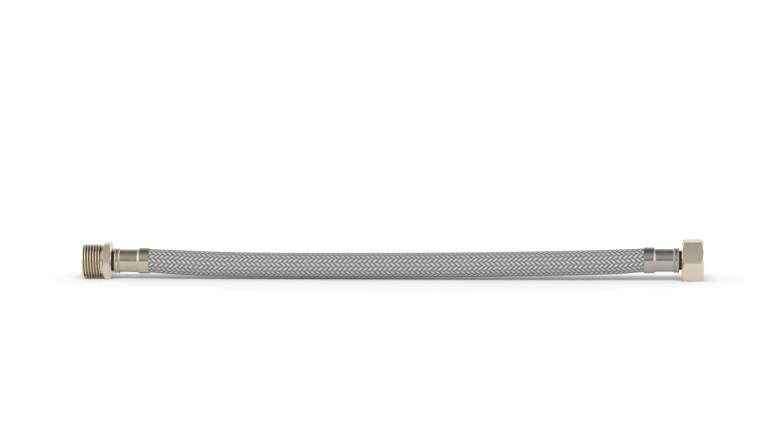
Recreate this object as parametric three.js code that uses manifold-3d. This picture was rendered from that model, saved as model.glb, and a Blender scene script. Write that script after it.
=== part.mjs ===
// A short braided water connector: a male pipe fitting and a swivelling union nut,
// each crimped to a rubber tube in a wire braid, lying as it comes to rest on a flat surface.
// Millimetres, +Z up, +X from the male end to the nut. The origin is on the surface, at mid-length.
import * as THREE from 'three';
import { mergeVertices } from 'three/addons/utils/BufferGeometryUtils.js';
import Module from 'manifold-3d';

const wasm = await Module();
wasm.setup();

// Driving sizes

const overallLength = 300; // from the male fitting's face to the nut's mouth

// The 3/8 inch parallel pipe thread, 19 turns to the inch, on both ends.
const threadMajorRadius = 8.33;
const threadPitch = 1.337;
const threadDepth = 0.856;
const threadCrestShare = 1 / 6; // of the pitch; the root takes as much, and the two flanks the rest
const threadClearance = 0.12; // by which the nut's thread is wider than the male one

const maleThreadLength = 10;
const maleLeadChamfer = 1;
const maleReliefWidth = 0.9; // the plain groove between the last turn and the hexagon
const maleHexFlats = 17;
const maleHexWidth = 4.4;
const maleMouthRadius = 4.5; // the water way in the threaded end

const nutFlats = 19;
const nutLength = 10.5;
const nutRearWall = 1.8;
const nutLeadIn = 0.3; // by which the nut's mouth is wider than its thread
const hexChamferShare = 0.97; // of half the width across flats, where a hexagon's end bevel starts
const hexChamferSlope = Math.tan(Math.PI / 6); // axial run of that bevel for each millimetre of radius

const flangeThickness = 1.4; // the collar of the tail that the nut pulls on
const flangeClearance = 0.3; // between that collar and the nut's thread, and its rear wall
const gasketThickness = 1.8;
const gasketBoreRadius = 4.6;
const gasketClearance = 0.2; // between the gasket and the crests of the nut's thread
const nutTravel = 0.6; // the loose nut's end play, back towards the ferrule
const nutGap = 1.2; // between the nut and the ferrule when the nut is pulled forward
const stopGap = 0.3; // left between the gasket and the collar once the nut has slid back

const neckRadius = 4.7; // the tail between a fitting and its ferrule
const maleNeckLength = 0.9; // how much of it shows behind the hexagon
const swivelClearance = 0.3; // between the neck and the nut's rear hole
const tailRadius = 3.6; // over the barbs
const tailLength = 14; // inside the ferrule
const tailBoreRadius = 2.9;
const barbCount = 4;
const barbDepth = 0.3;
const neckSeat = 0.9; // how far the neck goes on inside the ferrule

const ferruleLength = 17;
const ferruleWall = 0.35;
const ferruleWaistRadius = 5.5; // where it is crimped
const ferruleLipRadius = 6.25; // the mouth that takes the braid
const beadHeight = 0.65;
const beadHalfWidth = 0.7;
const beadCentres = [0.5, 2.2]; // from the ferrule's outer end
const collarHeight = 0.35; // of the groove between the beads, above the waist
const flareStart = 11;
const flareEnd = 12.6;
const endWall = 0.45;

const hoseRadius = 5.9; // over the braid
const braidThickness = 0.4;
const hoseBoreRadius = 4;
const layerGap = 0.15; // between nested layers
const seatGap = 0.3; // between the hose's end and the neck's shoulder
const floorGap = 0.1; // under the hose where it lies lowest
const crimpRelease = 0.5; // past the ferrule's lip, before the braid springs back
const crimpSpread = 2; // over which it does

// The free hose's route, chosen by hand: share of the length between the two ferrules, and how far
// it has fallen from the nearer fitting's axis (0) to lying on the surface (1).
const routeFall = [
  [0, 0],
  [0.012, 0],
  [0.03, 0.05],
  [0.055, 0.19],
  [0.08, 0.36],
  [0.105, 0.51],
  [0.14, 0.69],
  [0.18, 0.84],
  [0.225, 0.94],
  [0.27, 0.985],
  [0.33, 1],
  [0.42, 1],
  [0.5, 1],
  [0.58, 1],
  [0.63, 0.985],
  [0.68, 0.955],
  [0.73, 0.9],
  [0.78, 0.81],
  [0.83, 0.68],
  [0.87, 0.54],
  [0.905, 0.4],
  [0.935, 0.25],
  [0.96, 0.12],
  [0.975, 0.05],
  [0.988, 0],
  [1, 0],
];

const turnedSides = 32;
const threadSides = 24;
const hoseSides = 20;
const hoseStep = 15; // between rings along the free hose
const overshoot = 1; // by which a cutting tool passes the face that it cuts
const spareTurns = 3; // of a screw body, beyond its length
const halfStep = 0.5;
const onAxis = 0;

// Places worked out from those sizes

const maleAxisHeight = maleHexFlats / 2;
const nutAxisHeight = nutFlats / 2;
const hoseInset = neckSeat + seatGap; // where the hose ends, inside the ferrule
const maleFerruleX = -overallLength / 2 + maleThreadLength + maleHexWidth + maleNeckLength;
const nutFerruleX = overallLength / 2 - nutLength - nutGap;
const crimpBore = ferruleWaistRadius - ferruleWall;
const lipBore = ferruleLipRadius - ferruleWall;
const threadMinorRadius = threadMajorRadius - threadDepth;

// Solids and meshes

function solid(geometry) {
  const bare = geometry.index ? geometry.toNonIndexed() : geometry.clone();
  bare.deleteAttribute('normal');
  bare.deleteAttribute('uv');
  const merged = mergeVertices(bare, 1e-4);
  return new wasm.Manifold(new wasm.Mesh({
    numProp: 3,
    vertProperties: new Float32Array(merged.attributes.position.array),
    triVerts: new Uint32Array(merged.index.array),
  }));
}

function geometryOf(body) {
  const mesh = body.getMesh();
  const geometry = new THREE.BufferGeometry();
  geometry.setAttribute('position', new THREE.BufferAttribute(mesh.vertProperties, 3));
  geometry.setIndex(new THREE.BufferAttribute(mesh.triVerts, 1));
  geometry.computeVertexNormals();
  return geometry;
}

// A body turned about the X axis from an outline of [x, radius] points, taken with x rising
// along its outside. An outline that doesn't start on the axis closes on itself, as a ring does.
function turned(outline, sides = turnedSides) {
  const points = outline.map(([x, r]) => new THREE.Vector2(r, x));
  if (outline[0][1] > onAxis) points.push(points[0].clone());
  const geometry = new THREE.LatheGeometry(points, sides);
  geometry.rotateZ(-Math.PI / 2);
  return solid(geometry);
}

// A hexagonal bar from x0 to x1, flats up and down, with both ends bevelled as a turned bar is.
function hexagon(flats, x0, x1) {
  const cornerRadius = flats / 2 / Math.cos(Math.PI / 6);
  const corners = [0, 1, 2, 3, 4, 5].map((k) => {
    const angle = Math.PI / 6 + (k * Math.PI) / 3;
    return new THREE.Vector2(cornerRadius * Math.cos(angle), cornerRadius * Math.sin(angle));
  });
  const bar = new THREE.ExtrudeGeometry(new THREE.Shape(corners), {
    depth: x1 - x0,
    bevelEnabled: false,
  });
  bar.rotateY(Math.PI / 2).translate(x0, 0, 0);
  const bevelRadius = (flats / 2) * hexChamferShare;
  const clear = cornerRadius + overshoot;
  const run = (clear - bevelRadius) * hexChamferSlope;
  const envelope = turned([
    [x0, onAxis],
    [x0, bevelRadius],
    [x0 + run, clear],
    [x1 - run, clear],
    [x1, bevelRadius],
    [x1, onAxis],
  ]);
  return solid(bar).intersect(envelope);
}

// A right-hand screw body along X, its crests at majorRadius, a turn longer than x0 to x1 at each
// end. Its points follow the helix, so the flanks stay true, and the half step keeps them off the
// plane at x0. leadIn(x, radius) may change a point's radius; the caller cuts the body to length.
function screw(majorRadius, x0, x1, leadIn) {
  const minorRadius = majorRadius - threadDepth;
  const flank = (1 - 2 * threadCrestShare) / 2;
  const profile = [
    [0, minorRadius],
    [flank, majorRadius],
    [flank + threadCrestShare, majorRadius],
    [1 - threadCrestShare, minorRadius],
  ];
  const perTurn = profile.length;
  const rows = Math.ceil((x1 - x0) / threadPitch + spareTurns) * perTurn;
  const first = x0 - (spareTurns / 2 + halfStep / threadSides) * threadPitch;
  const positions = [];
  for (let j = 0; j <= rows; j++) {
    const [share, radius] = profile[j % perTurn];
    const turn = Math.floor(j / perTurn) + share;
    for (let i = 0; i < threadSides; i++) {
      const angle = (i / threadSides) * 2 * Math.PI;
      const x = first + threadPitch * (turn + i / threadSides);
      const led = leadIn(x, radius);
      positions.push(x, led * Math.cos(angle), led * Math.sin(angle));
    }
  }
  // Past a full turn a row runs on into the row that lies one pitch further along.
  const at = (i, j) => (i < threadSides ? j * threadSides + i : (j + perTurn) * threadSides);
  const faces = [];
  for (let j = 0; j < rows - perTurn; j++) {
    for (let i = 0; i < threadSides; i++) {
      faces.push(at(i, j), at(i + 1, j), at(i + 1, j + 1));
      faces.push(at(i, j), at(i + 1, j + 1), at(i, j + 1));
    }
  }
  const capAt = (row, outward) => {
    const centre = positions.length / 3;
    const middle = Math.floor(row / perTurn) + 0.5;
    positions.push(first + threadPitch * middle, onAxis, onAxis);
    const edge = [];
    for (let i = 0; i <= threadSides; i++) edge.push(at(i, row));
    for (let k = perTurn - 1; k > 0; k--) edge.push(at(0, row + k));
    edge.forEach((a, k) => {
      const b = edge[(k + 1) % edge.length];
      faces.push(...(outward ? [centre, a, b] : [centre, b, a]));
    });
  };
  capAt(0, false);
  capAt(rows - perTurn, true);
  const geometry = new THREE.BufferGeometry();
  geometry.setAttribute('position', new THREE.Float32BufferAttribute(positions, 3));
  geometry.setIndex(faces);
  return solid(geometry);
}

// The ferrule

function ferruleRadius(u) {
  const beads = beadCentres.map((centre) => {
    const away = Math.abs(u - centre) / beadHalfWidth;
    return away < 1 ? (beadHeight * (1 + Math.cos(Math.PI * away))) / 2 : 0;
  });
  const collar = u < beadCentres.at(-1) ? collarHeight : 0;
  const flare = THREE.MathUtils.smoothstep(u, flareStart, flareEnd);
  const lip = (ferruleLipRadius - ferruleWaistRadius) * flare;
  return ferruleWaistRadius + lip + Math.max(collar, ...beads);
}

function ferrule() {
  const onBeads = beadCentres.flatMap((centre) =>
    [-0.5, 0, 0.5, 1].map((share) => centre + share * beadHalfWidth));
  const onFlare = [0, 0.25, 0.5, 0.75, 1].map((share) => flareStart + share * (flareEnd - flareStart));
  const stations = [...onBeads, ...onFlare, ferruleLength];
  const outside = stations.map((u) => [u, ferruleRadius(u)]);
  const inside = stations.map((u) => [u, ferruleRadius(u) - ferruleWall]);
  const hole = neckRadius + layerGap;
  const cavity = inside.filter(([u]) => u > endWall).reverse();
  return turned([
    [0, hole],
    [0, ferruleRadius(0)],
    ...outside,
    ...cavity,
    [endWall, cavity.at(-1)[1]],
    [endWall, hole],
  ]);
}

// The tails, in the ferrule's frame: u runs from the ferrule's outer end into the hose

function barbOutline() {
  const pitch = (tailLength - neckSeat) / barbCount;
  const outline = [];
  for (let k = 0; k < barbCount; k++) {
    const u = neckSeat + k * pitch;
    outline.push([u, tailRadius], [u + pitch, tailRadius - barbDepth]);
  }
  outline.push([tailLength, onAxis]);
  return outline;
}

// The male fitting: thread, hexagon, neck and barbed tail, turned from one bar.
function maleFitting() {
  const hexEnd = -maleNeckLength;
  const hexStart = hexEnd - maleHexWidth;
  const face = hexStart - maleThreadLength;
  const reliefRadius = threadMinorRadius - layerGap;
  const clear = threadMajorRadius + overshoot;
  const envelope = turned([
    [face, onAxis],
    [face, clear],
    [hexStart - maleReliefWidth, clear],
    [hexStart - maleReliefWidth, reliefRadius],
    [hexStart + overshoot, reliefRadius],
    [hexStart + overshoot, onAxis],
  ]);
  const faceRadius = threadMajorRadius - maleLeadChamfer;
  const chamfer = (x, radius) => Math.min(radius, faceRadius + Math.max(0, x - face));
  const thread = screw(threadMajorRadius, face, hexStart + overshoot, chamfer).intersect(envelope);
  const tail = turned([
    [hexEnd - overshoot, onAxis],
    [hexEnd - overshoot, neckRadius],
    [neckSeat, neckRadius],
    ...barbOutline(),
  ]);
  const step = maleMouthRadius - tailBoreRadius;
  const bore = turned([
    [face - overshoot, onAxis],
    [face - overshoot, maleMouthRadius],
    [hexEnd - step - overshoot, maleMouthRadius],
    [hexEnd - overshoot, tailBoreRadius],
    [tailLength + overshoot, tailBoreRadius],
    [tailLength + overshoot, onAxis],
  ]);
  return thread.add(hexagon(maleHexFlats, hexStart, hexEnd)).add(tail).subtract(bore);
}

// The nut's tail: a flange inside the nut, a neck for it to turn on, and the same barbs.
const flangeBack = -(nutGap + nutRearWall + flangeClearance);
const flangeFace = flangeBack - flangeThickness;

function nutTail() {
  const flangeRadius = threadMinorRadius - flangeClearance;
  return turned([
    [flangeFace, onAxis],
    [flangeFace, flangeRadius],
    [flangeBack, flangeRadius],
    [flangeBack, neckRadius],
    [neckSeat, neckRadius],
    ...barbOutline(),
  ]).subtract(turned([
    [flangeFace - overshoot, onAxis],
    [flangeFace - overshoot, tailBoreRadius],
    [tailLength + overshoot, tailBoreRadius],
    [tailLength + overshoot, onAxis],
  ]));
}

function unionNut() {
  const back = -nutGap;
  const mouth = back - nutLength;
  const floor = back - nutRearWall;
  const socketRadius = threadMajorRadius + threadClearance;
  const clear = socketRadius + overshoot;
  const envelope = turned([
    [mouth - overshoot, onAxis],
    [mouth - overshoot, clear],
    [floor, clear],
    [floor, onAxis],
  ]);
  const countersink = (x, radius) => Math.max(radius, socketRadius + nutLeadIn - Math.max(0, x - mouth));
  const socket = screw(socketRadius, mouth, floor, countersink).intersect(envelope);
  const rearHoleRadius = neckRadius + swivelClearance;
  const rearHole = turned([
    [floor - overshoot, onAxis],
    [floor - overshoot, rearHoleRadius],
    [back + overshoot, rearHoleRadius],
    [back + overshoot, onAxis],
  ]);
  return hexagon(nutFlats, mouth, back).subtract(socket).subtract(rearHole);
}

function gasket() {
  const back = flangeFace - nutTravel - stopGap;
  const radius = threadMinorRadius + threadClearance - gasketClearance;
  return turned([
    [back - gasketThickness, gasketBoreRadius],
    [back - gasketThickness, radius],
    [back, radius],
    [back, gasketBoreRadius],
  ]);
}

// The hose, along its route

const freeStart = maleFerruleX + ferruleLength;
const freeEnd = nutFerruleX - ferruleLength;
const lyingHeight = hoseRadius + floorGap;

function routePoint([share, fall]) {
  const axisHeight = share < 0.5 ? maleAxisHeight : nutAxisHeight;
  const x = THREE.MathUtils.lerp(freeStart, freeEnd, share);
  return new THREE.Vector3(x, 0, THREE.MathUtils.lerp(axisHeight, lyingHeight, fall));
}

const routeStart = new THREE.Vector3(maleFerruleX + hoseInset, 0, maleAxisHeight);
const routeEnd = new THREE.Vector3(nutFerruleX - hoseInset, 0, nutAxisHeight);
const route = new THREE.CatmullRomCurve3([routeStart, ...routeFall.map(routePoint), routeEnd]);
route.arcLengthDivisions = 2000;
const routeLength = route.getLength();

// A ring-shaped body whose outline of [distance along the route, radius] points is bent to the route.
function bentToRoute(outline) {
  const points = [...outline, outline[0]].map(([s, r]) => new THREE.Vector2(r, s));
  const geometry = new THREE.LatheGeometry(points, hoseSides);
  const position = geometry.attributes.position;
  const across = new THREE.Vector3(0, 1, 0);
  for (let i = 0; i < position.count; i++) {
    const t = THREE.MathUtils.clamp(position.getY(i) / routeLength, 0, 1);
    const tangent = route.getTangentAt(t);
    const up = new THREE.Vector3().crossVectors(tangent, across);
    const point = route.getPointAt(t)
      .addScaledVector(up, position.getX(i))
      .addScaledVector(across, position.getZ(i));
    position.setXYZ(i, point.x, point.y, point.z);
  }
  return solid(geometry);
}

// Distances from the hose's end at which it leaves the crimp, the same at both ends.
const intoHose = (u) => u - hoseInset;
const springStart = intoHose(ferruleLength + crimpRelease);
const springEnd = springStart + crimpSpread;

function outerLayerRadii() {
  return [
    [0, crimpBore - layerGap],
    [intoHose(flareStart), crimpBore - layerGap],
    [intoHose(flareEnd), lipBore - layerGap],
    [springStart, lipBore - layerGap],
    [springEnd, hoseRadius],
  ];
}

// Both ends' [distance, radius] points, with rings between them along the free hose.
function alongHose(endRadii) {
  const freeRadius = endRadii.at(-1)[1];
  const from = endRadii.at(-1)[0];
  const to = routeLength - from;
  const steps = Math.max(1, Math.round((to - from) / hoseStep));
  const between = [];
  for (let k = 1; k < steps; k++) between.push([from + ((to - from) * k) / steps, freeRadius]);
  const farEnd = endRadii.map(([s, r]) => [routeLength - s, r]).reverse();
  return [...endRadii, ...between, ...farEnd];
}

function braid() {
  const outer = outerLayerRadii();
  const inner = outer.map(([s, r]) => [s, r - braidThickness]);
  return bentToRoute([...alongHose(outer), ...alongHose(inner).reverse()]);
}

function liner() {
  const outer = outerLayerRadii().map(([s, r]) => [s, r - braidThickness - layerGap]);
  const tailBore = tailRadius + layerGap;
  const inner = [
    [0, tailBore],
    [intoHose(tailLength), tailBore],
    [intoHose(tailLength) + crimpSpread, hoseBoreRadius],
    [springEnd, hoseBoreRadius],
  ];
  return bentToRoute([...alongHose(outer), ...alongHose(inner).reverse()]);
}

// Materials

const material = (color, metalness, roughness) =>
  new THREE.MeshStandardMaterial({ color, metalness, roughness });
const nickel = material(0xd6cebe, 1, 0.28);
const stainless = material(0xb4ada4, 1, 0.25);
const wire = material(0xb6b8ba, 1, 0.4);
const rubber = material(0x1b1b1c, 0, 0.7);

function mesh(name, body, finish) {
  const made = new THREE.Mesh(geometryOf(body), finish);
  made.name = name;
  return made;
}

// Each end is a group in its ferrule's frame; the nut's end is turned round to face the other way.
const maleEnd = new THREE.Group();
maleEnd.position.set(maleFerruleX, 0, maleAxisHeight);
maleEnd.add(mesh('male_fitting', maleFitting(), nickel));
maleEnd.add(mesh('male_ferrule', ferrule(), stainless));

const nutEnd = new THREE.Group();
nutEnd.position.set(nutFerruleX, 0, nutAxisHeight);
nutEnd.rotation.z = Math.PI;
nutEnd.add(mesh('nut_tail', nutTail(), nickel));
nutEnd.add(mesh('nut_ferrule', ferrule(), stainless));
nutEnd.add(mesh('union_nut', unionNut(), nickel));
nutEnd.add(mesh('nut_gasket', gasket(), rubber));

const connector = new THREE.Group();
connector.add(maleEnd, nutEnd);
connector.add(mesh('wire_braid', braid(), wire));
connector.add(mesh('inner_tube', liner(), rubber));

export default connector;
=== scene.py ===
# %% [markdown]
# A braided water hose lies on a pale floor. At its left end is a male pipe fitting, at its right end a
# loose union nut, and a crimped sleeve of thin steel holds each of them to the hose. The solids of the
# part are already there as a frame; this lesson puts the visible surfaces around them, one by one.

import math

import bmesh
import bpy
from mathutils import Matrix, Quaternion, Vector


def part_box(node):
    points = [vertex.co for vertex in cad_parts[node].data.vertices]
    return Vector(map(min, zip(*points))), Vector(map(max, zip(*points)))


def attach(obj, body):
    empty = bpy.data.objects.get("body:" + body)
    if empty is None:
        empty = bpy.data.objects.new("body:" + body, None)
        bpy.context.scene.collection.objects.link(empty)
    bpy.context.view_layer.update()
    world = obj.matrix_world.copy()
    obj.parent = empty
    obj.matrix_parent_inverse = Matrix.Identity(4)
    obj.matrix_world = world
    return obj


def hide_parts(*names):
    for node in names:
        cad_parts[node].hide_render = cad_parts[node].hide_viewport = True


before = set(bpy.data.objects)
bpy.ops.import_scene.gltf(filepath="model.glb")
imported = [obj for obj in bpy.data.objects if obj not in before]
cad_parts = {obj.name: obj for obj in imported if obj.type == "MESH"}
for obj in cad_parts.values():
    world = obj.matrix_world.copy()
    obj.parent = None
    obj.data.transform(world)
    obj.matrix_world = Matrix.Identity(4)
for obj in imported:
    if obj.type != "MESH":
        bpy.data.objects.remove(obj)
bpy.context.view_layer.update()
print("solids:", ", ".join(sorted(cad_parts)))

# %% [markdown]
# Pipe fittings are drawn in millimetres and turned about their own axis, so each piece is modelled
# that way: in millimetres, along X, with the axis through the origin. Only the finished piece is
# scaled to metres and moved to its place. The sizes are those of the solids.

# %% Sizes
MM = 0.001
TURN = 2 * math.pi

MALE_AXIS = 8.5
NUT_AXIS = 9.5
MALE_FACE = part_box("male_fitting")[0].x / MM
NUT_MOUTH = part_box("union_nut")[1].x / MM
NUT_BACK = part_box("union_nut")[0].x / MM
MALE_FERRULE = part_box("male_ferrule")[0].x / MM
NUT_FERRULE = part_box("nut_ferrule")[1].x / MM
FERRULE_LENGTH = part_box("male_ferrule")[1].x / MM - MALE_FERRULE
print(f"male face {MALE_FACE:.1f}, nut mouth {NUT_MOUTH:.1f}")
print(f"ferrules from {MALE_FERRULE:.1f} and {NUT_FERRULE:.1f}, {FERRULE_LENGTH:.1f} long")

# %% [markdown]
# The camera stands two metres away and looks down at the hose at a shallow angle, through a long
# lens. It stands nearly in front of the nut, whose end faces can hardly be seen, while the left
# fitting shows a little of its right side. Its lens is worked out from the width that the picture
# covers at the hose, and it is rolled by a third of a degree, as a camera held by hand is.

# %% Camera
VIEW_WIDTH = 0.3703
VIEW_DISTANCE = 2.0
VIEW_ELEVATION = math.radians(7.8)
VIEW_AZIMUTH = math.radians(3.5)
VIEW_ROLL = math.radians(-0.33)
AIM = Vector((-0.0038, 0, 0.0326))
SENSOR_WIDTH = 36.0

camera_data = bpy.data.cameras.new("camera")
camera_data.sensor_width = SENSOR_WIDTH
camera_data.lens = SENSOR_WIDTH * VIEW_DISTANCE / VIEW_WIDTH
camera = bpy.data.objects.new("camera", camera_data)
away = Vector((
    math.sin(VIEW_AZIMUTH) * math.cos(VIEW_ELEVATION),
    -math.cos(VIEW_AZIMUTH) * math.cos(VIEW_ELEVATION),
    math.sin(VIEW_ELEVATION),
))
camera.location = AIM + away * VIEW_DISTANCE
camera.rotation_euler = (Quaternion(away, VIEW_ROLL) @ away.to_track_quat("Z", "Y")).to_euler()
bpy.context.scene.collection.objects.link(camera)
bpy.context.scene.camera = camera
bpy.context.scene.view_settings.view_transform = "Standard"
print(f"lens {camera_data.lens:.0f} mm")

# %% [markdown]
# The room and every finish are graphs of nodes. In Python, each node is made, given its settings and
# linked by name. A few helpers keep that short: one for arithmetic, one for a mix of two values, and
# one for a ramp of greys.

# %% Helpers for nodes
def link(tree, source, target):
    tree.links.new(source, target)


def feed(tree, value, socket):
    """Sets a socket to a plain number, or links another socket to it."""
    if isinstance(value, (int, float)):
        socket.default_value = value
    else:
        link(tree, value, socket)


def maths(tree, operation, first, second=0.0):
    node = tree.nodes.new("ShaderNodeMath")
    node.operation = operation
    feed(tree, first, node.inputs[0])
    feed(tree, second, node.inputs[1])
    return node.outputs[0]


def mixed(tree, factor, first, second):
    """The first value where the factor is 0, and the second where it is 1."""
    node = tree.nodes.new("ShaderNodeMix")
    node.data_type = "FLOAT"
    feed(tree, factor, node.inputs["Factor"])
    feed(tree, first, node.inputs["A"])
    feed(tree, second, node.inputs["B"])
    return node.outputs[0]


def grey_ramp(tree, value, tones, full=1.0):
    """Looks the value up in a list of places and tones; full is the last place."""
    node = tree.nodes.new("ShaderNodeValToRGB")
    while len(node.color_ramp.elements) < len(tones):
        node.color_ramp.elements.new(0.5)
    for element, (place, tone) in zip(node.color_ramp.elements, tones):
        element.position = place / full
        element.color = (tone, tone, tone, 1)
    link(tree, value, node.inputs[0])
    return node.outputs["Color"]


# %% [markdown]
# Bright metal shows what stands around it more than it shows its own colour. So reflections see a
# graded room: a dark band at eye level on the camera's side, a paler one above it, darkness overhead,
# and white behind the hose and at both sides. The list gives the tones by angle, from the camera's
# side at 0 degrees over the zenith at 90 to the wall behind the hose at 180. The camera sees plain
# white, and what isn't a reflection gets an even fill of light.

# %% Room
FILL_LIGHT = 0.62
SIDE_LIGHT = 1.6
SIDE_START = 0.5
SIDE_FULL = 0.9
HALF_CIRCLE = 180
ROOM_TONES = [
    (0, 0.36), (12, 0.36), (28, 0.68), (40, 0.7), (58, 0.48), (70, 0.45), (80, 0.26), (92, 0.15),
    (106, 0.16), (125, 0.32), (148, 0.75), (162, 0.95), (180, 0.95),
]


def mirrored_room(tree):
    """The strength of light that a reflection meets in each direction."""
    direction = tree.nodes.new("ShaderNodeTexCoord")
    axes = tree.nodes.new("ShaderNodeSeparateXYZ")
    link(tree, direction.outputs["Generated"], axes.inputs[0])
    front = maths(tree, "MULTIPLY", axes.outputs["Y"], -1.0)
    over = maths(tree, "ARCTAN2", axes.outputs["Z"], front)
    tones = grey_ramp(tree, maths(tree, "DIVIDE", over, math.pi), ROOM_TONES, full=HALF_CIRCLE)
    sideways = tree.nodes.new("ShaderNodeMapRange")
    sideways.inputs["From Min"].default_value = SIDE_START
    sideways.inputs["From Max"].default_value = SIDE_FULL
    link(tree, maths(tree, "ABSOLUTE", axes.outputs["X"]), sideways.inputs["Value"])
    return mixed(tree, sideways.outputs["Result"], tones, SIDE_LIGHT)


def make_room():
    world = bpy.data.worlds.new("room")
    world.use_nodes = True
    world.cycles.sampling_method = "NONE"
    tree = world.node_tree
    ray = tree.nodes.new("ShaderNodeLightPath")
    lit = mixed(tree, ray.outputs["Is Camera Ray"], FILL_LIGHT, 1.0)
    strength = mixed(tree, ray.outputs["Is Glossy Ray"], lit, mirrored_room(tree))
    background = tree.nodes["Background"]
    background.inputs["Color"].default_value = (1, 1, 1, 1)
    link(tree, strength, background.inputs["Strength"])
    bpy.context.scene.world = world


make_room()
print(f"room: {len(ROOM_TONES)} tones, fill {FILL_LIGHT}, sides {SIDE_LIGHT}")

# %% [markdown]
# One large soft lamp stands in front and above, which puts the shadows behind the hose. It lights the
# floor and the braid, but it is left out of reflections, because the room already gives the metal
# what it mirrors.

# %% Lamp
LAMP_PLACE = (0.1, -1.5, 2.2)
LAMP_SIZE = (1.6, 0.9)
LAMP_POWER = 42


def soft_lamp(name, place, size, power):
    lamp_data = bpy.data.lights.new(name, "AREA")
    lamp_data.shape = "RECTANGLE"
    lamp_data.size, lamp_data.size_y = size
    lamp_data.energy = power
    lamp = bpy.data.objects.new(name, lamp_data)
    lamp.location = place
    lamp.rotation_euler = Vector(place).to_track_quat("Z", "Y").to_euler()
    lamp.visible_glossy = False
    bpy.context.scene.collection.objects.link(lamp)


soft_lamp("front_lamp", LAMP_PLACE, LAMP_SIZE, LAMP_POWER)
print(f"lamp: {LAMP_POWER} W at {LAMP_PLACE}")

# %% [markdown]
# The floor is a pale sheet of paper. Near the hose it shows the shadows, and further out it fades to
# plain white, because the paper gives off a little light of its own that grows with the distance. The
# fade is drawn out along X, as the hose is.

# %% Floor
FLOOR_SIZE = 24.0
FLOOR_COLOUR = (0.88, 0.88, 0.88, 1)
FLOOR_ROUGHNESS = 0.9
FLOOR_FADE = [(0.0, 0.0), (0.03, 0.02), (0.08, 0.14), (0.3, 0.3), (1.0, 0.5)]
FADE_SCALE = (0.3, 1, 1)


def white_paper():
    paper = bpy.data.materials.new("paper")
    paper.use_nodes = True
    tree = paper.node_tree
    shader = tree.nodes["Principled BSDF"]
    shader.inputs["Base Color"].default_value = FLOOR_COLOUR
    shader.inputs["Roughness"].default_value = FLOOR_ROUGHNESS
    shader.inputs["Emission Color"].default_value = (1, 1, 1, 1)
    place = tree.nodes.new("ShaderNodeTexCoord")
    narrowed = tree.nodes.new("ShaderNodeMapping")
    narrowed.inputs["Scale"].default_value = FADE_SCALE
    distance = tree.nodes.new("ShaderNodeVectorMath")
    distance.operation = "LENGTH"
    link(tree, place.outputs["Object"], narrowed.inputs["Vector"])
    link(tree, narrowed.outputs["Vector"], distance.inputs[0])
    fade = grey_ramp(tree, distance.outputs["Value"], FLOOR_FADE)
    link(tree, fade, shader.inputs["Emission Strength"])
    return paper


def make_floor():
    floor_mesh = bpy.data.meshes.new("floor")
    shape = bmesh.new()
    bmesh.ops.create_grid(shape, x_segments=1, y_segments=1, size=FLOOR_SIZE / 2)
    shape.to_mesh(floor_mesh)
    shape.free()
    floor_mesh.materials.append(white_paper())
    floor = bpy.data.objects.new("floor", floor_mesh)
    bpy.context.scene.collection.objects.link(floor)


make_floor()
print(f"floor: {FLOOR_SIZE:.0f} m square")

# %% [markdown]
# Every finish starts from the same shader, and noise on Object coordinates varies its roughness, so
# that no surface is quite even. A finer noise can also tilt the surface a little, as a bump. Object
# coordinates are in metres, so a noise of 500 cells to the metre has spots of 2 mm.

# %% Helpers for finishes
NOISE_DETAIL = 3.0
NOISE_RANGE = (0.3, 0.7)


def new_finish(name, colour, metallic, roughness):
    finish = bpy.data.materials.new(name)
    finish.use_nodes = True
    shader = finish.node_tree.nodes["Principled BSDF"]
    shader.inputs["Base Color"].default_value = (*colour, 1)
    shader.inputs["Metallic"].default_value = metallic
    shader.inputs["Roughness"].default_value = roughness
    return finish, finish.node_tree, shader


def object_noise(tree, cells, stretch=(1, 1, 1)):
    """Noise with that many cells to the metre; a stretch under 1 draws them out along that axis."""
    place = tree.nodes.new("ShaderNodeTexCoord")
    mapping = tree.nodes.new("ShaderNodeMapping")
    mapping.inputs["Scale"].default_value = stretch
    noise = tree.nodes.new("ShaderNodeTexNoise")
    noise.inputs["Scale"].default_value = cells
    noise.inputs["Detail"].default_value = NOISE_DETAIL
    link(tree, place.outputs["Object"], mapping.inputs["Vector"])
    link(tree, mapping.outputs["Vector"], noise.inputs["Vector"])
    return noise.outputs["Fac"]


def uneven_roughness(tree, shader, cells, low, high):
    """Lets the roughness wander between low and high."""
    span = tree.nodes.new("ShaderNodeMapRange")
    span.inputs["From Min"].default_value = NOISE_RANGE[0]
    span.inputs["From Max"].default_value = NOISE_RANGE[1]
    span.inputs["To Min"].default_value = low
    span.inputs["To Max"].default_value = high
    link(tree, object_noise(tree, cells), span.inputs["Value"])
    link(tree, span.outputs["Result"], shader.inputs["Roughness"])


def bumped(tree, shader, height, distance, strength):
    """Adds a bump of that many metres on top of the bumps that the shader already has."""
    bump = tree.nodes.new("ShaderNodeBump")
    bump.inputs["Distance"].default_value = distance
    bump.inputs["Strength"].default_value = strength
    link(tree, height, bump.inputs["Height"])
    previous = shader.inputs["Normal"].links
    if previous:
        link(tree, previous[0].from_socket, bump.inputs["Normal"])
    link(tree, bump.outputs["Normal"], shader.inputs["Normal"])


def attribute(tree, name):
    node = tree.nodes.new("ShaderNodeAttribute")
    node.attribute_name = name
    return node.outputs["Fac"]


# %% [markdown]
# The fittings are brass with a satin nickel plate, warm and pale. Between the turns of a thread the
# colour is darker and browner: partly the brass that shows through the thin plate there, partly painted
# shade in the grooves. The thread carries that as an attribute of its points, "root", from 0 on the
# crests to 1 in the grooves.

# %% Nickel plate
PLATE_COLOUR = (0.7, 0.635, 0.53)
# The colour of the grooves: brass showing through, darkened further as painted shade.
ROOT_BRASS_AND_SHADE_COLOUR = (0.36, 0.29, 0.17)


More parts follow.
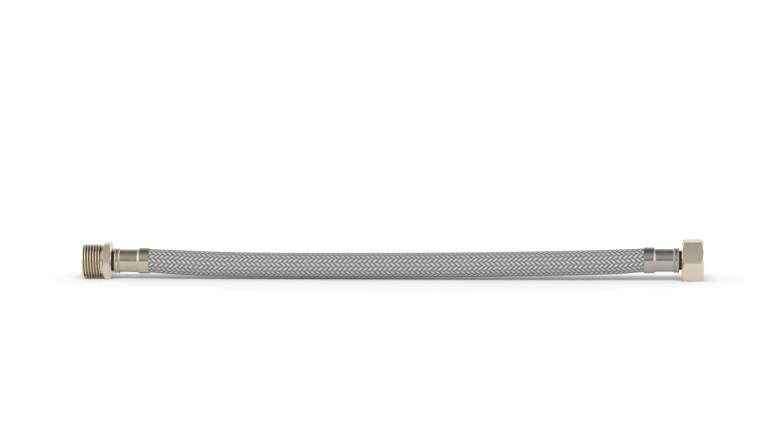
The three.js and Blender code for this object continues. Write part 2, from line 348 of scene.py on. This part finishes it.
def nickel_plate():
    finish, tree, shader = new_finish("nickel_plate", PLATE_COLOUR, metallic=1.0, roughness=0.2)
    colour = tree.nodes.new("ShaderNodeMix")
    colour.data_type = "RGBA"
    link(tree, attribute(tree, "root"), colour.inputs["Factor"])
    colour.inputs["A"].default_value = (*PLATE_COLOUR, 1)
    colour.inputs["B"].default_value = (*ROOT_BRASS_AND_SHADE_COLOUR, 1)
    link(tree, colour.outputs["Result"], shader.inputs["Base Color"])
    uneven_roughness(tree, shader, cells=260, low=0.16, high=0.3)
    ripple = object_noise(tree, cells=700, stretch=(0.15, 1, 1))
    bumped(tree, shader, ripple, distance=0.00002, strength=0.6)
    bumped(tree, shader, object_noise(tree, cells=2600), distance=0.000006, strength=0.5)
    return finish


NICKEL = nickel_plate()
print("finish:", NICKEL.name)

# %% [markdown]
# The ferrules are bright rolled steel, the same on both, but in two painted copies: the right one is
# darker and greyer than the left, as painted shade. Inside the fittings, at their necks and on the nut's
# tail, the brass is painted nearly black, as the shade in those narrow gaps, and the tube and the gasket
# are black rubber.

# %% Sheet steel, shaded brass and rubber
WARM_STEEL_COLOUR = (0.54, 0.49, 0.4)
# The right ferrule's copy of the same steel, painted darker and greyer as shade.
SHADED_STEEL_COLOUR = (0.46, 0.43, 0.41)
# Nearly black brass: painted shade at the necks, on the rear faces next to them and on the nut's tail.
BRASS_IN_SHADE_COLOUR = (0.07, 0.05, 0.022)
RUBBER_COLOUR = (0.02, 0.02, 0.02)


def sheet_steel(name, colour):
    finish, tree, shader = new_finish(name, colour, metallic=1.0, roughness=0.18)
    uneven_roughness(tree, shader, cells=300, low=0.13, high=0.26)
    rolling = object_noise(tree, cells=1500, stretch=(1.6, 0.2, 0.2))
    bumped(tree, shader, rolling, distance=0.00001, strength=0.5)
    return finish


# Brass painted as dark as the shade in the gaps where it sits.
def shaded_brass():
    finish, tree, shader = new_finish("shaded_brass", BRASS_IN_SHADE_COLOUR, metallic=1.0, roughness=0.35)
    uneven_roughness(tree, shader, cells=500, low=0.28, high=0.5)
    return finish


def black_rubber():
    finish, tree, shader = new_finish("black_rubber", RUBBER_COLOUR, metallic=0.0, roughness=0.6)
    uneven_roughness(tree, shader, cells=900, low=0.5, high=0.75)
    bumped(tree, shader, object_noise(tree, cells=2500), distance=0.00003, strength=0.4)
    return finish


WARM_STEEL = sheet_steel("warm_sheet_steel", WARM_STEEL_COLOUR)
SHADED_STEEL = sheet_steel("sheet_steel", SHADED_STEEL_COLOUR)
BRASS_IN_SHADE = shaded_brass()
RUBBER = black_rubber()
print("finishes:", ", ".join(finish.name for finish in (WARM_STEEL, SHADED_STEEL, BRASS_IN_SHADE, RUBBER)))

# %% [markdown]
# The wires that make up one strand of the braid are 0.3 mm thick. Modelled as round wires they would
# take millions of faces, so a strand is a flat ribbon and its wires are a bump across it. The bump
# follows the attribute "across", which runs from 0 at one edge of the ribbon to 1 at the other. The
# attribute "light" is low at the edges of a strand and where it dives under others, because little
# light gets into those grooves.

# %% Finish of the braid
WIRES = 7
GROOVE_TONE = 0.06
CREST_TONE = 0.62


def drawn_wire():
    finish, tree, shader = new_finish("drawn_wire", (CREST_TONE,) * 3, metallic=0.3, roughness=0.35)
    shader.inputs["Specular IOR Level"].default_value = 0.2
    turns = maths(tree, "MULTIPLY", attribute(tree, "across"), math.pi * WIRES)
    crest = maths(tree, "ABSOLUTE", maths(tree, "SINE", turns))
    bumped(tree, shader, crest, distance=0.00004, strength=0.5)
    tone = mixed(tree, attribute(tree, "light"), GROOVE_TONE, CREST_TONE)
    link(tree, tone, shader.inputs["Base Color"])
    uneven_roughness(tree, shader, cells=400, low=0.28, high=0.42)
    return finish


WIRE = drawn_wire()
print(f"finish: {WIRE.name}, {WIRES} wires to a strand")

# %% [markdown]
# Every turned piece goes the same way: an outline in the plane through the axis is spun once round.
# The helper takes the outline as points of distance along the axis and radius. A closed outline gives
# a ring, and an open one gives a surface that another piece is bridged to later. The bevel then takes
# the sharp edges off, as a lathe hand does with a file.

# %% Helpers for turned pieces
STEPS = 96
SHARP = math.radians(30)
ROUNDING_STEPS = 2


def spun(outline, closed=True, steps=STEPS, marks=None):
    """A surface of revolution about X. marks gives each point a number, kept in the layer "mark"."""
    shape = bmesh.new()
    mark = shape.verts.layers.int.new("mark")
    shape.verts.layers.float.new("root")
    points = [shape.verts.new((x, 0, r)) for x, r in outline]
    for point, number in zip(points, marks or [0] * len(points)):
        point[mark] = number
    ends = points[1:] + points[:1] if closed else points[1:]
    for start, end in zip(points, ends):
        shape.edges.new((start, end))
    bmesh.ops.spin(
        shape, geom=shape.verts[:] + shape.edges[:], cent=(0, 0, 0), axis=(1, 0, 0),
        angle=TURN, steps=steps, use_merge=True,
    )
    bmesh.ops.recalc_face_normals(shape, faces=shape.faces[:])
    return shape


def radius_of(point):
    return math.hypot(point.co.y, point.co.z)


def set_radius(point, radius):
    scale = radius / radius_of(point)
    point.co.y *= scale
    point.co.z *= scale


def round_edges(shape, size):
    """Rounds every edge that turns by more than 30 degrees."""
    edges = [e for e in shape.edges if len(e.link_faces) == 2 and e.calc_face_angle() > SHARP]
    bmesh.ops.bevel(
        shape, geom=edges, offset=size, offset_type="OFFSET", segments=ROUNDING_STEPS, profile=0.5,
        affect="EDGES", clamp_overlap=True, material=-1,
    )


# %% [markdown]
# A shape becomes a piece in two moves. It is scaled to metres and moved to its axis, and then it is made
# an object that rides on its body and stands for its solid. Faces are shaded smooth, except across sharp
# edges. A second, dark finish can be given to the faces near the axis, between two places: painted shade
# in the narrow gaps between the parts.

# %% Placing a piece and handing it over
# The second finish is painted shade for faces in a narrow gap.
def painted_shade_faces(shape, low, high, radius):
    """Gives the faces between low and high, and within the radius, the second finish, which is painted
    shade.
    """
    for face in shape.faces:
        middle = face.calc_center_median()
        if low < middle.x < high and math.hypot(middle.y, middle.z) < radius:
            face.material_index = 1


def placed(shape, x, z, facing=1):
    """Scales to metres and moves to the axis at height z. facing -1 turns the piece round to face -X."""
    turn = Matrix.Rotation(math.pi, 4, "Z") if facing < 0 else Matrix.Identity(4)
    move = Matrix.Translation((x * MM, 0, z * MM)) @ turn @ Matrix.Scale(MM, 4)
    bmesh.ops.transform(shape, matrix=move, verts=shape.verts[:])


def finished(name, shape, finish, body, solid, second=None):
    for face in shape.faces:
        face.smooth = True
    for edge in shape.edges:
        edge.smooth = len(edge.link_faces) != 2 or edge.calc_face_angle() < SHARP
    mesh = bpy.data.meshes.new(name)
    shape.to_mesh(mesh)
    shape.free()
    mesh.materials.append(finish)
    if second:
        mesh.materials.append(second)
    piece = bpy.data.objects.new(name, mesh)
    bpy.context.scene.collection.objects.link(piece)
    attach(piece, body)
    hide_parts(solid)
    triangles = sum(len(p.vertices) - 2 for p in mesh.polygons)
    print(f"{name}: {triangles} triangles")
    return piece


# %% [markdown]
# The hose leaves the left ferrule level, sinks nearly to the floor, and rises again to the nut, whose
# axis is a little higher because the nut is larger. The route is a short list of heights, each with its
# share of the free length, and a smooth curve through them gives the centre of the hose everywhere.

# %% Route of the hose
FREE_START = MALE_FERRULE + FERRULE_LENGTH
FREE_END = NUT_FERRULE - FERRULE_LENGTH
FREE_LENGTH = FREE_END - FREE_START
ROUTE_HEIGHTS = [
    (-0.05, MALE_AXIS), (0, MALE_AXIS), (0.012, 8.36), (0.035, 8.04), (0.07, 7.62), (0.12, 7.16),
    (0.16, 6.9), (0.2, 6.73), (0.25, 6.62), (0.3, 6.6), (0.36, 6.62), (0.44, 6.68), (0.52, 6.78),
    (0.58, 6.89), (0.64, 7.05), (0.69, 7.22), (0.74, 7.43), (0.79, 7.67), (0.84, 7.93),
    (0.885, 8.2), (0.925, 8.5), (0.96, 8.88), (0.985, 9.3), (1, NUT_AXIS), (1.05, NUT_AXIS),
]


def route_height(x):
    """Height of the hose's centre at x, in millimetres."""
    share = (x - FREE_START) / FREE_LENGTH
    if share <= 0 or share >= 1:
        return MALE_AXIS if share <= 0 else NUT_AXIS
    last = len(ROUTE_HEIGHTS) - 2
    k = next(i for i in range(1, last) if share <= ROUTE_HEIGHTS[i + 1][0])
    (s0, z0), (s1, z1), (s2, z2), (s3, z3) = ROUTE_HEIGHTS[k - 1:k + 3]
    slope1 = (z2 - z0) / (s2 - s0)
    slope2 = (z3 - z1) / (s3 - s1)
    width = s2 - s1
    t = (share - s1) / width
    return (
        (2 * t**3 - 3 * t**2 + 1) * z1 + (t**3 - 2 * t**2 + t) * width * slope1
        + (3 * t**2 - 2 * t**3) * z2 + (t**3 - t**2) * width * slope2
    )


# %% [markdown]
# The cover is a real plait: 18 strands wind one way and 18 the other, and each passes over two of the
# others and then under two. All are equally thick and wide, and the mouths of the ferrules hold them
# in a little. The two smooth curves here are used for the squeeze and for the weave.

# %% Sizes of the braid
STRANDS_EACH_WAY = 18
STRAND_SPACING = 2.411
STRAND_WIDTH = 2.08
STRAND_THICKNESS = 0.26
HOSE_RADIUS = 6.05
CRIMPED_RADIUS = 5.8
CRIMP_SPREAD = 14.0
WEAVE_DEPTH = 0.13
BRAID_TWIST = math.radians(-5)
BRAID_TUCK = 2.5
TURN_LENGTH = STRANDS_EACH_WAY * STRAND_SPACING
MIDDLE_RADIUS = HOSE_RADIUS - STRAND_THICKNESS / 2 - WEAVE_DEPTH
print(f"braid: a strand goes once round in {TURN_LENGTH:.1f} mm")


def smooth_share(value, low, high):
    """How far the value is between low and high, as a smooth step from 0 to 1."""
    t = min(max((value - low) / (high - low), 0), 1)
    return t * t * (3 - 2 * t)


def rounded_wave(value):
    """A cosine with broader crests, from -1 to 1."""
    return value * (1.5 - 0.5 * value * value)


def squeezed(x):
    """How much the ferrules' mouths hold the braid in, in millimetres of radius."""
    from_mouth = min(x - FREE_START, FREE_END - x)
    return (HOSE_RADIUS - CRIMPED_RADIUS) * (1 - smooth_share(from_mouth, 0, CRIMP_SPREAD))


# %% [markdown]
# One strand is made by spinning the section of a ribbon along a helix: the spin operator also moves
# it along the axis at each step. The section is a low arch of six points. Its first points carry the
# attribute "across", and the spin copies that along the whole strand. One strand is made for a trial,
# to see how many faces it takes.

# %% Winding one strand
STEPS_PER_CROSSING = 2
RIBBON = [(-0.5, -0.4), (-0.5, -0.1), (-0.2, 0.47), (0.2, 0.47), (0.5, -0.1), (0.5, -0.4)]


def turned_about_axis(shape, points, angle):
    bmesh.ops.rotate(shape, verts=points, cent=(0, 0, 0), matrix=Matrix.Rotation(angle, 3, "X"))


def wound_strand(number, hand):
    """A plain helix; hand is 1 for a right-hand one and -1 for a left-hand one."""
    shape = bmesh.new()
    across = shape.verts.layers.float.new("across")
    shape.verts.layers.float.new("light")
    start = FREE_START - BRAID_TUCK
    length = FREE_END + BRAID_TUCK - start
    turns = length / TURN_LENGTH
    steps = round(turns * 2 * STRANDS_EACH_WAY * STEPS_PER_CROSSING)
    section = []
    for offset, lift in RIBBON:
        radius = MIDDLE_RADIUS + lift * STRAND_THICKNESS
        point = shape.verts.new((start + offset * STRAND_WIDTH, 0, radius))
        point[across] = offset + 0.5
        section.append(point)
    edges = [shape.edges.new(pair) for pair in zip(section, section[1:] + section[:1])]
    first_angle = TURN * number / STRANDS_EACH_WAY + hand * TURN * start / TURN_LENGTH
    turned_about_axis(shape, section, first_angle)
    bmesh.ops.spin(
        shape, geom=section + edges, cent=(0, 0, 0), axis=(1, 0, 0), angle=hand * TURN * turns,
        steps=steps, dvec=(length / steps, 0, 0),
    )
    bmesh.ops.holes_fill(shape, edges=[edge for edge in shape.edges if edge.is_boundary])
    return shape


trial = wound_strand(0, 1)
print(f"one strand: {len(trial.faces)} faces")
trial.free()

# %% [markdown]
# The points of a strand then move out or in, depending on which strand of the other hand they cross.
# Every point finds the number of that strand from its own place and angle, and a wave four strands
# long takes it over two and under two. The same wave gives the attribute "light".

# %% Weaving a strand
LIT_FROM = -0.5
LIT_FULL = 0.95
EDGE_LIGHT = 0.25


def woven(shape, number, hand):
    across = shape.verts.layers.float["across"]
    light = shape.verts.layers.float["light"]
    for point in shape.verts:
        x = point.co.x
        angle = math.atan2(-point.co.y, point.co.z) / TURN * STRANDS_EACH_WAY
        other = angle + hand * x / STRAND_SPACING
        laps = round((angle - hand * x / STRAND_SPACING - number) / STRANDS_EACH_WAY)
        crossed = number + laps * STRANDS_EACH_WAY + other
        wave = hand * rounded_wave(math.cos(math.pi / 2 * (crossed - 0.5)))
        set_radius(point, radius_of(point) + WEAVE_DEPTH * wave - squeezed(x))
        from_edge = 1 - (2 * point[across] - 1) ** 4
        lit = smooth_share(wave, LIT_FROM, LIT_FULL)
        point[light] = lit * (EDGE_LIGHT + (1 - EDGE_LIGHT) * from_edge)


# %% [markdown]
# In the end the strands follow the droop of the hose, and all are joined into one piece. Each is
# spun on its own and joined last, because the operators slow down in a large mesh.

# %% Braid
SLOPE_REACH = 0.25


def bend_to_route(shape):
    """Moves a straight shape so that its axis follows the route."""
    for point in shape.verts:
        x = point.co.x
        rise = (route_height(x + SLOPE_REACH) - route_height(x - SLOPE_REACH)) / (2 * SLOPE_REACH)
        along = math.hypot(1, rise)
        point.co.x = x - point.co.z * rise / along
        point.co.z = route_height(x) + point.co.z / along


def joined(shapes):
    """Moves the faces of all the shapes into one."""
    whole = bmesh.new()
    for shape in shapes:
        mesh = bpy.data.meshes.new("part")
        shape.to_mesh(mesh)
        shape.free()
        whole.from_mesh(mesh)
        bpy.data.meshes.remove(mesh)
    return whole


def make_braid():
    strands = []
    for hand in (1, -1):
        for number in range(STRANDS_EACH_WAY):
            strand = wound_strand(number, hand)
            woven(strand, number, hand)
            turned_about_axis(strand, strand.verts[:], BRAID_TWIST)
            bend_to_route(strand)
            bmesh.ops.recalc_face_normals(strand, faces=strand.faces[:])
            strands.append(strand)
    shape = joined(strands)
    placed(shape, 0, 0)
    return finished("hose_braid", shape, WIRE, "hose", "wire_braid")


hose_braid = make_braid()

# %% [markdown]
# Between the strands the rubber tube shows as dark specks. It's a plain tube, spun in short lengths
# so that it can follow the droop of the hose.

# %% Rubber tube
TUBE_RADIUS = 4.95
TUBE_BORE = 4.0
TUBE_STEP = 4.0
TUBE_SIDES = 32


def tube_radius(x):
    return TUBE_RADIUS - squeezed(x) if FREE_START < x < FREE_END else TUBE_RADIUS


def make_tube():
    low, high = (corner.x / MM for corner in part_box("inner_tube"))
    count = round((high - low) / TUBE_STEP)
    stations = [low + (high - low) * k / count for k in range(count + 1)]
    outside = [(x, tube_radius(x)) for x in stations]
    inside = [(x, TUBE_BORE) for x in reversed(stations)]
    shape = spun(outside + inside, steps=TUBE_SIDES)
    bend_to_route(shape)
    placed(shape, 0, 0)
    return finished("rubber_tube", shape, RUBBER, "hose", "inner_tube")


make_tube()

# %% [markdown]
# A ferrule is a thin sleeve drawn from sheet. Its outer end curls in over the neck in two small
# beads, the jaws of the press leave a narrow waist, and the mouth stays wide to take the braid. Its
# outline is that of the solid, with finer steps: the radius is a function of the distance from the
# outer end, and it is the same function, one wall further in, for the inside.

# %% Outline of a ferrule
WALL = 0.35
WAIST_RADIUS = 5.5
LIP_RADIUS = 6.25
BEAD_HEIGHT = 0.65
BEAD_HALF_WIDTH = 0.7
BEAD_CENTRES = (0.5, 2.2)
COLLAR_HEIGHT = 0.35
FLARE = (11.0, 12.6)


def ferrule_radius(u):
    bump = 0.0
    for centre in BEAD_CENTRES:
        away_from = abs(u - centre) / BEAD_HALF_WIDTH
        if away_from < 1:
            bump = max(bump, BEAD_HEIGHT * (1 + math.cos(math.pi * away_from)) / 2)
    collar = COLLAR_HEIGHT if u < BEAD_CENTRES[-1] else 0
    lip = (LIP_RADIUS - WAIST_RADIUS) * smooth_share(u, *FLARE)
    return WAIST_RADIUS + lip + max(collar, bump)


print(f"ferrule: radius {ferrule_radius(BEAD_CENTRES[0]):.2f} at the first bead")
print(f"and {ferrule_radius(FLARE[1]):.2f} at the lip")

# %% [markdown]
# The press has ten jaws, and between each two of them a faint ridge is left along the waist. The
# points of the waist are moved out a little at the ridges, and in between them.

# %% Ferrules
END_WALL = 0.45
END_ROUNDING = 0.25
FERRULE_HOLE = 4.85
FERRULE_SIDES = 120
SHEET_EDGE = 0.12
JAWS = 10
JAW_RIDGE = 0.07
JAW_GRIP = ((3.2, 4.2), (10.2, 11.4))
RIDGE_SHARPNESS = 12
RIDGE_FOOT = 0.3
BEAD_STATIONS = [0.1 * k for k in range(1, 31)]
WAIST_STATIONS = [3.4, 4.2, 5.5, 7.0, 8.5, 9.8, 10.4]
LIP_STATIONS = [10.8 + 0.15 * k for k in range(14)]


def press_jaws(shape):
    for point in shape.verts:
        u = point.co.x
        held = smooth_share(u, *JAW_GRIP[0]) - smooth_share(u, *JAW_GRIP[1])
        angle = math.atan2(point.co.y, point.co.z)
        ridge = abs(math.cos(angle * JAWS / 2)) ** RIDGE_SHARPNESS
        set_radius(point, radius_of(point) + JAW_RIDGE * held * (ridge - RIDGE_FOOT))


def make_ferrule(name, x, z, facing, finish):
    stations = BEAD_STATIONS + WAIST_STATIONS + LIP_STATIONS + [FERRULE_LENGTH]
    outside = [(u, ferrule_radius(u)) for u in stations]
    inside = [(u, ferrule_radius(u) - WALL) for u in reversed(stations) if u > END_WALL]
    outline = [(0, FERRULE_HOLE), (0, ferrule_radius(0) - END_ROUNDING)] + outside + inside
    outline += [(END_WALL, inside[-1][1]), (END_WALL, FERRULE_HOLE)]
    shape = spun(outline, steps=FERRULE_SIDES)
    press_jaws(shape)
    round_edges(shape, SHEET_EDGE)
    placed(shape, x, z, facing)
    return finished(f"{name}_sleeve", shape, finish, "hose", name)


make_ferrule("male_ferrule", MALE_FERRULE, MALE_AXIS, 1, WARM_STEEL)
# The right ferrule takes the copy of the steel that is painted darker, as shade.
make_ferrule("nut_ferrule", NUT_FERRULE, NUT_AXIS, -1, SHADED_STEEL)

# %% [markdown]
# A pipe thread is a wave that climbs one pitch with each turn. The spin operator can do just that: it
# moves a wavy line along the axis while it turns it. After one full turn the line meets itself one
# pitch further on, the doubled points are merged, and two cuts square off the ends. The line starts
# two pitches early and ends late, so that both cuts go through a full thread.

# %% Threads
PITCH = 1.337
THREAD_MAJOR = 8.33
THREAD_DEPTH = 0.856
POINTS_PER_PITCH = 12
SPARE_BEFORE = 2
SPARE_PITCHES = 3
ROOT_SHADE = (0.35, 1.05)
TOUCH = 0.001


def thread_surface(major, low, high):
    """A right-hand thread from low to high, as an open surface with its crests at the major radius."""
    shape = bmesh.new()
    shape.verts.layers.int.new("mark")
    root = shape.verts.layers.float.new("root")
    pitches = math.ceil((high - low) / PITCH) + SPARE_PITCHES
    line = []
    for k in range(pitches * POINTS_PER_PITCH + 1):
        share = k / POINTS_PER_PITCH
        depth = (1 - math.cos(TURN * share)) / 2
        x = low + (share - SPARE_BEFORE) * PITCH
        point = shape.verts.new((x, 0, major - THREAD_DEPTH * depth))
        # How deep the point sits in the groove, which sets its painted shade.
        point[root] = smooth_share(depth, *ROOT_SHADE)
        line.append(point)
    edges = [shape.edges.new(pair) for pair in zip(line, line[1:])]
    bmesh.ops.spin(
        shape, geom=line + edges, cent=(0, 0, 0), axis=(1, 0, 0), angle=TURN, steps=STEPS,
        dvec=(PITCH / STEPS, 0, 0),
    )
    bmesh.ops.remove_doubles(shape, verts=shape.verts[:], dist=TOUCH)
    return shape


def cut_ends(shape, low, high):
    for plane, outward in ((low, -1), (high, 1)):
        bmesh.ops.bisect_plane(
            shape, geom=shape.verts[:] + shape.edges[:] + shape.faces[:], dist=TOUCH / 10,
            plane_co=(plane, 0, 0), plane_no=(outward, 0, 0), clear_outer=True,
        )


print(f"thread: {PITCH} mm pitch, {2 * THREAD_MAJOR:.2f} mm over the crests")

# %% [markdown]
# The cut thread is still open at both ends. Its rims are joined to the rims of the turned shape with
# a bridge, which fills the ring between two loops of edges, whatever their number of points.

# %% Joining a thread to its piece
def rim(shape, x):
    """The open edges that lie in the plane at x."""
    return [e for e in shape.edges if e.is_boundary and all(abs(v.co.x - x) < TOUCH for v in e.verts)]


def join_thread(shape, thread, low, high):
    whole = joined([shape, thread])
    for x in (low, high):
        bmesh.ops.bridge_loops(whole, edges=rim(whole, x))
    bmesh.ops.recalc_face_normals(whole, faces=whole.faces[:])
    return whole


# %% [markdown]
# A hexagon on a turned bar has flat sides, but its ends are bevelled on the lathe, which leaves the
# curved corners that such nuts have. So the bar is spun round first. The rings that carry the hexagon
# then move out to its flats, and each of their points slides along the axis to where the cone of the
# bevel meets the flat.

# %% Hexagons
HALF_SIDE = 30
BEVEL_SHARE = 0.965
BEVEL_SLOPE = math.tan(math.radians(30))
PLAIN = 0
LEFT_RING = 1
RIGHT_RING = 2
TURNED_EDGE = 0.25


def corner_radius(flats):
    return flats / 2 / math.cos(math.radians(HALF_SIDE))


def bevel_radius(flats):
    """Where the bevel starts on the end face, a little inside the flats."""
    return flats / 2 * BEVEL_SHARE


def to_hexagon(shape, flats):
    mark = shape.verts.layers.int["mark"]
    for point in shape.verts:
        if point[mark] == PLAIN:
            continue
        angle = math.degrees(math.atan2(point.co.y, point.co.z))
        from_flat = (angle + HALF_SIDE) % (2 * HALF_SIDE) - HALF_SIDE
        radius = flats / 2 / math.cos(math.radians(from_flat))
        set_radius(point, radius)
        run = (radius - bevel_radius(flats)) * BEVEL_SLOPE
        point.co.x += run if point[mark] == LEFT_RING else -run


print(f"hexagon: the corners stand {corner_radius(1) * 2 - 1:.1%} outside the flats")

# %% [markdown]
# The male fitting is one turned piece. Its outline runs from the relief groove behind the thread over
# the hexagon and the neck to the tail inside the hose, and back through the bore to the mouth. The
# thread is joined on last, with its first turns cut down to a chamfer, so that it starts easily.

# %% Male fitting
MALE_THREAD_END = MALE_FACE + 9.1
MALE_HEX = (MALE_FACE + 10.0, MALE_FACE + 14.4)
MALE_FLATS = 17.0
MALE_MOUTH = 4.5
MALE_LEAD_IN = 1.0
RELIEF_DEPTH = 0.15
MOUTH_CHAMFER = 0.4
NECK_RADIUS = 4.7
NECK_TUCK = 0.9
TAIL_RADIUS = 3.5
TAIL_BORE = 2.9
TAIL_LENGTH = 14.0
BORE_CONE = MALE_HEX[1] - 1.0
# Within this radius, the faces in the gaps next to the ferrules are painted dark as shade.
SHADE_RADIUS = 6.0
FACE_MARGIN = 0.1


def male_outline():
    bevel, corner = bevel_radius(MALE_FLATS), corner_radius(MALE_FLATS)
    relief = THREAD_MAJOR - THREAD_DEPTH - RELIEF_DEPTH
    left, right = MALE_HEX
    seat = MALE_FERRULE + NECK_TUCK
    tail_end = MALE_FERRULE + TAIL_LENGTH
    outline = [
        (MALE_THREAD_END, relief), (left, relief), (left, bevel), (left, corner), (right, corner),
        (right, bevel), (right, SHADE_RADIUS), (right, NECK_RADIUS), (seat, NECK_RADIUS),
        (seat, TAIL_RADIUS), (tail_end, TAIL_RADIUS), (tail_end, TAIL_BORE), (BORE_CONE, TAIL_BORE),
        (BORE_CONE - (MALE_MOUTH - TAIL_BORE), MALE_MOUTH), (MALE_FACE + MOUTH_CHAMFER, MALE_MOUTH),
        (MALE_FACE, MALE_MOUTH + MOUTH_CHAMFER),
    ]
    marks = [PLAIN] * 3 + [LEFT_RING, RIGHT_RING] + [PLAIN] * 11
    return outline, marks


def make_male_fitting():
    outline, marks = male_outline()
    shape = spun(outline, closed=False, marks=marks)
    to_hexagon(shape, MALE_FLATS)
    round_edges(shape, TURNED_EDGE)
    thread = thread_surface(THREAD_MAJOR, MALE_FACE, MALE_THREAD_END)
    for point in thread.verts:
        limit = THREAD_MAJOR - MALE_LEAD_IN + max(0, point.co.x - MALE_FACE)
        set_radius(point, min(radius_of(point), limit))
    cut_ends(thread, MALE_FACE, MALE_THREAD_END)
    shape = join_thread(shape, thread, MALE_FACE, MALE_THREAD_END)
    neck_end = MALE_FERRULE + NECK_TUCK
    # The hexagon's rear face near the neck, the neck and the bore there get the dark finish: painted
    # shade in the gap before the ferrule.
    painted_shade_faces(shape, MALE_HEX[1] - FACE_MARGIN, neck_end + FACE_MARGIN, SHADE_RADIUS)
    placed(shape, 0, MALE_AXIS)
    return finished(
        "threaded_male_fitting", shape, NICKEL, "hose", "male_fitting",
        second=BRASS_IN_SHADE,
    )


make_male_fitting()

# %% [markdown]
# The union nut is the same kind of piece turned inside out: the hexagon outside, the thread inside,
# and a hole in its rear wall that is too small for the flange of the tail.

# %% Union nut
NUT_FLATS = 19.0
NUT_THREAD_MAJOR = 8.45
NUT_LEAD_IN = 0.3
NUT_LAND = 0.15
NUT_SHOULDER = 0.2
NUT_FLOOR = NUT_BACK + 1.8
NUT_REAR_HOLE = 5.0


def nut_outline():
    bevel, corner = bevel_radius(NUT_FLATS), corner_radius(NUT_FLATS)
    shoulder = NUT_THREAD_MAJOR - THREAD_DEPTH - NUT_SHOULDER
    mouth = NUT_THREAD_MAJOR + NUT_LEAD_IN + NUT_LAND
    outline = [
        (NUT_FLOOR, shoulder), (NUT_FLOOR, NUT_REAR_HOLE), (NUT_BACK, NUT_REAR_HOLE),
        (NUT_BACK, SHADE_RADIUS), (NUT_BACK, bevel), (NUT_BACK, corner), (NUT_MOUTH, corner),
        (NUT_MOUTH, bevel), (NUT_MOUTH, mouth),
    ]
    marks = [PLAIN] * 5 + [LEFT_RING, RIGHT_RING] + [PLAIN] * 2
    return outline, marks


def make_union_nut():
    outline, marks = nut_outline()
    shape = spun(outline, closed=False, marks=marks)
    to_hexagon(shape, NUT_FLATS)
    round_edges(shape, TURNED_EDGE)
    thread = thread_surface(NUT_THREAD_MAJOR, NUT_FLOOR, NUT_MOUTH)
    for point in thread.verts:
        limit = NUT_THREAD_MAJOR + NUT_LEAD_IN - max(0, NUT_MOUTH - point.co.x)
        set_radius(point, max(radius_of(point), limit))
    cut_ends(thread, NUT_FLOOR, NUT_MOUTH)
    shape = join_thread(shape, thread, NUT_FLOOR, NUT_MOUTH)
    # The rear face near the hole, the hole and the wall inside get the dark finish: painted shade in the
    # gap before the ferrule.
    painted_shade_faces(shape, NUT_BACK - FACE_MARGIN, NUT_FLOOR - FACE_MARGIN, SHADE_RADIUS)
    placed(shape, 0, NUT_AXIS)
    return finished(
        "hexagon_union_nut", shape, NICKEL, "nut", "union_nut", second=BRASS_IN_SHADE,
    )


make_union_nut()

# %% [markdown]
# Inside the nut sits the flange of the tail. Its neck is the dark ring between ferrule and nut, painted
# nearly black as the shade in that gap, and the tail reaches into the hose. It stays with the hose, and
# the nut turns round it.

# %% Nut's tail
FLANGE_PLAY = 0.3
FLANGE_THICKNESS = 1.4
FLANGE_BACK = NUT_FLOOR + FLANGE_PLAY
FLANGE_FACE = FLANGE_BACK + FLANGE_THICKNESS
FLANGE_RADIUS = THREAD_MAJOR - THREAD_DEPTH - FLANGE_PLAY
FLANGE_EDGE = 0.1


def make_nut_tail():
    seat = NUT_FERRULE - NECK_TUCK
    tail_end = NUT_FERRULE - TAIL_LENGTH
    outline = [
        (tail_end, TAIL_BORE), (tail_end, TAIL_RADIUS), (seat, TAIL_RADIUS), (seat, NECK_RADIUS),
        (FLANGE_BACK, NECK_RADIUS), (FLANGE_BACK, FLANGE_RADIUS), (FLANGE_FACE, FLANGE_RADIUS),
        (FLANGE_FACE, TAIL_BORE),
    ]
    shape = spun(outline)
    round_edges(shape, FLANGE_EDGE)
    placed(shape, 0, NUT_AXIS)
    # The whole tail takes the brass that is painted dark as shade.
    return finished("flanged_nut_tail", shape, BRASS_IN_SHADE, "hose", "nut_tail")


make_nut_tail()

# %% [markdown]
# The gasket is a flat rubber ring in front of the flange. It shows through the mouth of the nut and
# turns with it, so its edges are rounded and it rides on the nut.

# %% Gasket
GASKET_BORE = 4.6
GASKET_EDGE = 0.2


def make_gasket():
    low, high = (corner.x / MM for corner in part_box("nut_gasket"))
    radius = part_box("nut_gasket")[1].z / MM - NUT_AXIS
    shape = spun([(low, GASKET_BORE), (low, radius), (high, radius), (high, GASKET_BORE)])
    round_edges(shape, GASKET_EDGE)
    placed(shape, 0, NUT_AXIS)
    return finished("flat_gasket", shape, RUBBER, "nut", "nut_gasket")


make_gasket()
